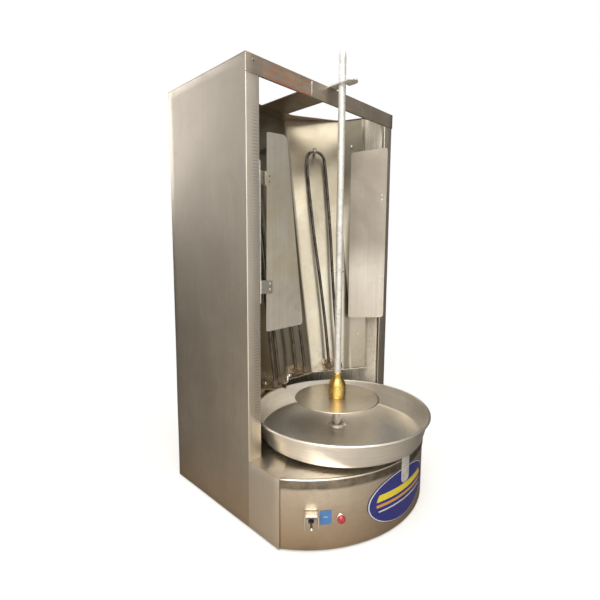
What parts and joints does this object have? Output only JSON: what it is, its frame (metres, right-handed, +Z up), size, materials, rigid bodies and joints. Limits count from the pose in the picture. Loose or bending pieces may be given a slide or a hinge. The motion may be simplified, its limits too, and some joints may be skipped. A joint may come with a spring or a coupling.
{
  "type": "vertical rotisserie broiler",
  "caption": "Countertop vertical broiler: open steel cabinet, upright electric heaters on a faceted reflector, motor-driven spit with disc, drip pan and hinged heat shields.",
  "frame": {"origin": "centre of the footprint box, on the floor under the feet", "axes": "+Z up along the spit, -Y towards the operator (curved front), +X to the right of someone facing the machine from behind the pan, that is to the right in a front view"},
  "size_m": [0.48, 0.582, 1.0108],
  "materials": {
    "stainless": "brushed, satin, hand worn",
    "bright_steel": "bright drawn, light scratches",
    "dull_steel": "dull mill finish",
    "rubber_foot": "matt",
    "heater_sheath": "heat darkened oxide",
    "heater_ceramic": "matt, sooted",
    "bright_chrome": "polished",
    "zinc_plate": "galvanised, light grey",
    "ferrule_brass": "turned",
    "motor_paint": "satin paint",
    "black_plastic": "moulded",
    "red_lens": "gloss, domed",
    "blue_print": "printed film, plain",
    "badge_print": null,
    "cord_rubber": "smooth"
  },
  "bodies": {
    "cabinet": {"side_panel_left": "stainless", "side_panel_right": "stainless", "top_frame": "stainless", "rear_panel": "stainless", "base_top_plate": "stainless", "base_front_panel": "stainless", "base_bottom_plate": "dull_steel", "foot_rear_left": "rubber_foot", "foot_rear_right": "rubber_foot", "foot_front_left": "rubber_foot", "foot_front_right": "rubber_foot", "chamber_liner": "stainless", "heat_reflector": "bright_steel", "heater_element_left": "heater_sheath", "heater_element_centre": "heater_sheath", "heater_element_right": "heater_sheath", "heater_clip_left": "dull_steel", "heater_clip_centre": "dull_steel", "heater_clip_right": "dull_steel", "heater_foot_left": "heater_ceramic", "heater_foot_centre": "heater_ceramic", "heater_foot_right": "heater_ceramic", "heater_lead": "bright_chrome", "lead_bracket": "bright_chrome", "shield_rod_left": "zinc_plate", "shield_rod_right": "zinc_plate", "shaft_bearing": "dull_steel", "gearmotor": "motor_paint", "motor_bracket": "dull_steel", "terminal_block": "heater_ceramic", "pan_support_ring": "dull_steel", "arm_pivot_bolt": "zinc_plate", "switch_body": "black_plastic", "switch_nut": "zinc_plate", "switch_guard": "bright_steel", "lamp_bezel": "bright_steel", "lamp_lens": "red_lens", "label_plate": "blue_print", "front_badge": "badge_print", "front_clip": "bright_steel", "cord_gland": "black_plastic", "power_cord": "cord_rubber", "mains_plug": "cord_rubber"},
    "drive": {"drive_shaft": "bright_steel"},
    "spit": {"spit_rod": "zinc_plate", "spit_cross_pin": "bright_steel", "spit_ferrule": "ferrule_brass", "meat_disc": "stainless"},
    "pan": {"drip_pan": "bright_steel"},
    "arm": {"support_arm": "bright_steel", "arm_end_screw": "zinc_plate"},
    "left_shield": {"shield_left": "bright_steel", "shield_left_clip_lower": "bright_steel", "shield_left_clip_upper": "bright_steel"},
    "right_shield": {"shield_right": "bright_steel", "shield_right_clip_lower": "bright_steel", "shield_right_clip_upper": "bright_steel"},
    "toggle": {"switch_lever": "bright_chrome"}
  },
  "joints": [
    {"name": "spit_spin", "type": "hinge", "parent": "cabinet", "child": "drive", "pos_m": [0, -0.0734, 0.154], "axis": [0, 0, 1], "continuous": true},
    {"name": "spit_lift", "type": "slide", "parent": "drive", "child": "spit", "axis": [0, 0, 1], "range_m": [0, 0.034]},
    {"name": "pan_lift", "type": "slide", "parent": "cabinet", "child": "pan", "axis": [0, 0, 1], "range_m": [0, 0.014]},
    {"name": "arm_swing", "type": "hinge", "parent": "cabinet", "child": "arm", "pos_m": [0, -0.0274, 0.935], "axis": [0, 0, 1], "range_deg": [-100, 0]},
    {"name": "left_shield_swing", "type": "hinge", "parent": "cabinet", "child": "left_shield", "pos_m": [-0.199, -0.0334, 0.604], "axis": [0, 0, 1], "range_deg": [-95, 20]},
    {"name": "right_shield_swing", "type": "hinge", "parent": "cabinet", "child": "right_shield", "pos_m": [0.2095, -0.0514, 0.604], "axis": [0, 0, 1], "range_deg": [0, 140]},
    {"name": "toggle_throw", "type": "hinge", "parent": "cabinet", "child": "toggle", "pos_m": [-0.20019, -0.18364, 0.068], "axis": [-0.7278, 0.6858, 0], "range_deg": [0, 24]}
  ]
}
